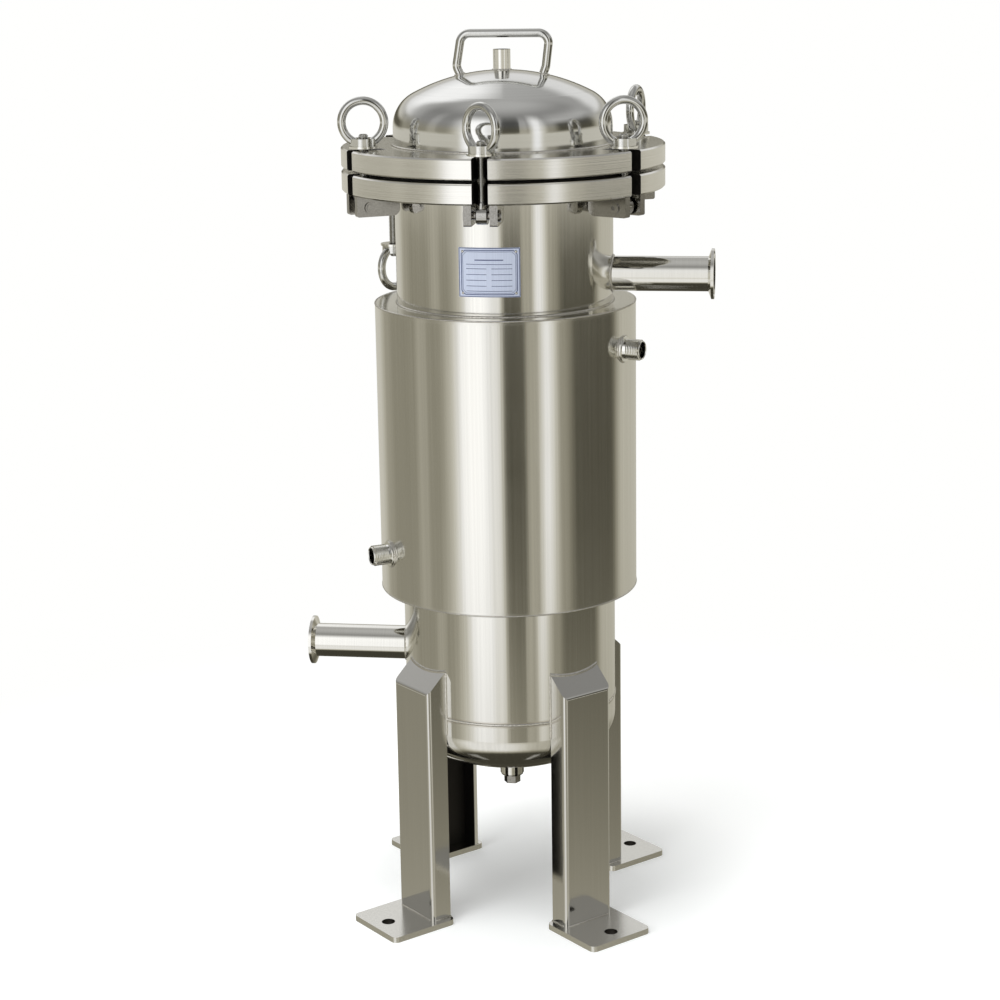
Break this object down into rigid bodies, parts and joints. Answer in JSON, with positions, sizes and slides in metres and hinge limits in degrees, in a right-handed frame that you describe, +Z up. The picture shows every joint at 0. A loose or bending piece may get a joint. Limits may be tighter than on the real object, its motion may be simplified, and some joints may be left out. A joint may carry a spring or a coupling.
{
  "type": "bag filter housing",
  "caption": "Jacketed stainless bag filter housing on legs, with clamp ferrule inlet and outlet and a dished lid held by swing bolts with eye nuts.",
  "frame": {"origin": "the vessel axis at floor level, at the centre of the four foot holes", "axes": "+Z up the vessel axis; +X towards the inlet, -X towards the outlet; the nameplate and the first swing bolt face -Y"},
  "size_m": [0.422, 0.3316, 0.9075],
  "materials": {
    "brushed_shell": "satin brushed stainless",
    "turned_flange": "turned stainless",
    "polished_fittings": "polished stainless",
    "polished_legs": "polished stainless sheet",
    "hardware": "polished stainless",
    "nameplate": "satin, bare",
    "seal_rubber": "black",
    "polished_dome": "mirror polished stainless",
    "basket_steel": "perforated stainless",
    "bag_felt": "needle felt",
    "bag_ring": "moulded ring"
  },
  "bodies": {
    "housing": {"shell": "brushed_shell", "bottom_head": "brushed_shell", "body_flange": "turned_flange", "jacket_shell": "brushed_shell", "jacket_top_ring": "brushed_shell", "jacket_bottom_ring": "brushed_shell", "inlet_pipe": "polished_fittings", "inlet_ferrule": "polished_fittings", "outlet_pipe": "polished_fittings", "outlet_ferrule": "polished_fittings", "upper_jacket_nipple": "polished_fittings", "lower_jacket_nipple": "polished_fittings", "clevis_ears": "hardware", "pivot_pins": "hardware", "pivot_rings": "hardware", "nameplate": "nameplate", "gasket": "seal_rubber", "basket_seat_ring": "basket_steel", "drain_socket": "polished_fittings", "leg_1": "polished_legs", "leg_2": "polished_legs", "leg_3": "polished_legs", "leg_4": "polished_legs", "foot_plate_1": "polished_legs", "foot_plate_2": "polished_legs", "foot_plate_3": "polished_legs", "foot_plate_4": "polished_legs"},
    "lid": {"lid_flange": "turned_flange", "lid_dome": "polished_dome", "lid_handle": "hardware", "vent_nozzle": "polished_fittings"},
    "basket": {"basket": "basket_steel", "basket_rim": "basket_steel", "filter_bag": "bag_felt", "bag_ring": "bag_ring"},
    "bail": {"basket_bail": "basket_steel"},
    "drain_seal": {"drain_seal": "hardware"},
    "drain_plug": {"drain_plug": "polished_fittings"},
    "swing_bolt_1": {"swing_bolt_1": "hardware"},
    "washer_1": {"washer_1": "hardware"},
    "eye_nut_1": {"eye_nut_1": "hardware"},
    "swing_bolt_2": {"swing_bolt_2": "hardware"},
    "washer_2": {"washer_2": "hardware"},
    "eye_nut_2": {"eye_nut_2": "hardware"},
    "swing_bolt_3": {"swing_bolt_3": "hardware"},
    "washer_3": {"washer_3": "hardware"},
    "eye_nut_3": {"eye_nut_3": "hardware"},
    "swing_bolt_4": {"swing_bolt_4": "hardware"},
    "washer_4": {"washer_4": "hardware"},
    "eye_nut_4": {"eye_nut_4": "hardware"},
    "swing_bolt_5": {"swing_bolt_5": "hardware"},
    "washer_5": {"washer_5": "hardware"},
    "eye_nut_5": {"eye_nut_5": "hardware"},
    "swing_bolt_6": {"swing_bolt_6": "hardware"},
    "washer_6": {"washer_6": "hardware"},
    "eye_nut_6": {"eye_nut_6": "hardware"}
  },
  "joints": [
    {"name": "lid_lift", "type": "slide", "parent": "housing", "child": "lid", "axis": [0, 0, 1], "range_m": [0, 0.0017]},
    {"name": "basket_lift", "type": "slide", "parent": "housing", "child": "basket", "axis": [0, 0, 1], "range_m": [0, 0.12]},
    {"name": "bail_swing", "type": "hinge", "parent": "basket", "child": "bail", "pos_m": [0, 0, 0.645], "axis": [-1, 0, 0], "range_deg": [0, 180]},
    {"name": "drain_seal_drop", "type": "slide", "parent": "housing", "child": "drain_seal", "axis": [0, 0, -1], "range_m": [0, 0.00668]},
    {"name": "drain_plug_turn", "type": "hinge", "parent": "drain_seal", "child": "drain_plug", "pos_m": [0, 0, 0.125], "axis": [0, 0, -1], "range_deg": [0, 1800]},
    {"name": "swing_1", "type": "hinge", "parent": "housing", "child": "swing_bolt_1", "pos_m": [0, -0.1465, 0.741], "axis": [1, 0, 0], "range_deg": [0, 170]},
    {"name": "washer_slide_1", "type": "slide", "parent": "swing_bolt_1", "child": "washer_1", "axis": [0, 0, 1], "range_m": [-0.00126, 0.00901]},
    {"name": "nut_turn_1", "type": "hinge", "parent": "washer_1", "child": "eye_nut_1", "pos_m": [0, -0.1465, 0.7995], "axis": [0, 0, 1], "range_deg": [-300, 2160]},
    {"name": "swing_2", "type": "hinge", "parent": "housing", "child": "swing_bolt_2", "pos_m": [0.12687, -0.07325, 0.741], "axis": [0.5, 0.866, 0], "range_deg": [0, 170]},
    {"name": "washer_slide_2", "type": "slide", "parent": "swing_bolt_2", "child": "washer_2", "axis": [0, 0, 1], "range_m": [-0.00126, 0.00901]},
    {"name": "nut_turn_2", "type": "hinge", "parent": "washer_2", "child": "eye_nut_2", "pos_m": [0.12687, -0.07325, 0.7995], "axis": [0, 0, 1], "range_deg": [-300, 2160]},
    {"name": "swing_3", "type": "hinge", "parent": "housing", "child": "swing_bolt_3", "pos_m": [0.12687, 0.07325, 0.741], "axis": [-0.5, 0.866, 0], "range_deg": [0, 170]},
    {"name": "washer_slide_3", "type": "slide", "parent": "swing_bolt_3", "child": "washer_3", "axis": [0, 0, 1], "range_m": [-0.00126, 0.00901]},
    {"name": "nut_turn_3", "type": "hinge", "parent": "washer_3", "child": "eye_nut_3", "pos_m": [0.12687, 0.07325, 0.7995], "axis": [0, 0, 1], "range_deg": [-300, 2160]},
    {"name": "swing_4", "type": "hinge", "parent": "housing", "child": "swing_bolt_4", "pos_m": [0, 0.1465, 0.741], "axis": [-1, 0, 0], "range_deg": [0, 170]},
    {"name": "washer_slide_4", "type": "slide", "parent": "swing_bolt_4", "child": "washer_4", "axis": [0, 0, 1], "range_m": [-0.00126, 0.00901]},
    {"name": "nut_turn_4", "type": "hinge", "parent": "washer_4", "child": "eye_nut_4", "pos_m": [0, 0.1465, 0.7995], "axis": [0, 0, 1], "range_deg": [-300, 2160]},
    {"name": "swing_5", "type": "hinge", "parent": "housing", "child": "swing_bolt_5", "pos_m": [-0.12687, 0.07325, 0.741], "axis": [-0.5, -0.866, 0], "range_deg": [-180, 0]},
    {"name": "washer_slide_5", "type": "slide", "parent": "swing_bolt_5", "child": "washer_5", "axis": [0, 0, -1], "range_m": [-0.00126, 0.00151]},
    {"name": "nut_turn_5", "type": "hinge", "parent": "washer_5", "child": "eye_nut_5", "pos_m": [-0.12687, 0.07325, 0.6825], "axis": [0, 0, -1], "range_deg": [-300, 360]},
    {"name": "swing_6", "type": "hinge", "parent": "housing", "child": "swing_bolt_6", "pos_m": [-0.12687, -0.07325, 0.741], "axis": [0.5, -0.866, 0], "range_deg": [0, 170]},
    {"name": "washer_slide_6", "type": "slide", "parent": "swing_bolt_6", "child": "washer_6", "axis": [0, 0, 1], "range_m": [-0.00126, 0.00901]},
    {"name": "nut_turn_6", "type": "hinge", "parent": "washer_6", "child": "eye_nut_6", "pos_m": [-0.12687, -0.07325, 0.7995], "axis": [0, 0, 1], "range_deg": [-300, 2160]}
  ],
  "couplings": [
    {"joint": "drain_plug_turn", "follows": "drain_seal_drop", "rad_per_m": 4699.5},
    {"joint": "washer_slide_1", "follows": "nut_turn_1", "m_per_rad": 0.00023873},
    {"joint": "washer_slide_2", "follows": "nut_turn_2", "m_per_rad": 0.00023873},
    {"joint": "washer_slide_3", "follows": "nut_turn_3", "m_per_rad": 0.00023873},
    {"joint": "washer_slide_4", "follows": "nut_turn_4", "m_per_rad": 0.00023873},
    {"joint": "washer_slide_5", "follows": "nut_turn_5", "m_per_rad": 0.00023873},
    {"joint": "washer_slide_6", "follows": "nut_turn_6", "m_per_rad": 0.00023873}
  ]
}
